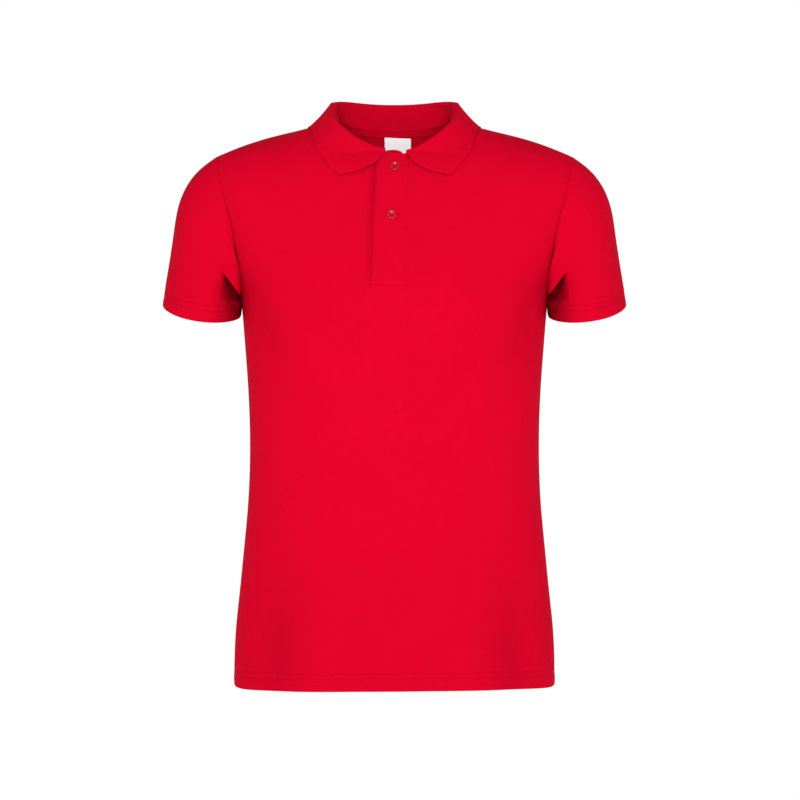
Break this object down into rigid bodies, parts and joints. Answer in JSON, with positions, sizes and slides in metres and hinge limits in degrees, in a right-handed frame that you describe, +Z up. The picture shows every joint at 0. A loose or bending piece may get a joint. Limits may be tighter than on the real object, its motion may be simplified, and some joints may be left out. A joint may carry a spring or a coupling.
{
  "type": "polo shirt",
  "caption": "Short-sleeved polo shirt with a flat-knit collar, a buttoned placket and hemmed cuffs, held open and filled out as if worn.",
  "frame": {"origin": "midway between the neck points of the two shoulder seams, in the plane of those seams", "axes": "+Z up the wearer's body, -Y towards the shirt's front, +X towards the wearer's left"},
  "size_m": [0.5712, 0.2283, 0.7222],
  "materials": {
    "pique": "fine cotton pique knit, matte",
    "collar_knit": "flat rib knit, matte",
    "tape": "plain jersey tape, matte",
    "label": "plain white satin, blank",
    "button": "glossy polyester, turned"
  },
  "bodies": {
    "root": {"front": "pique", "back": "pique", "sleeve_left": "pique", "sleeve_right": "pique", "collar": "collar_knit", "placket_outer": "pique", "placket_under": "pique", "neck_tape": "tape", "neck_label": "label", "button_top": "button", "button_lower": "button"}
  },
  "joints": []
}
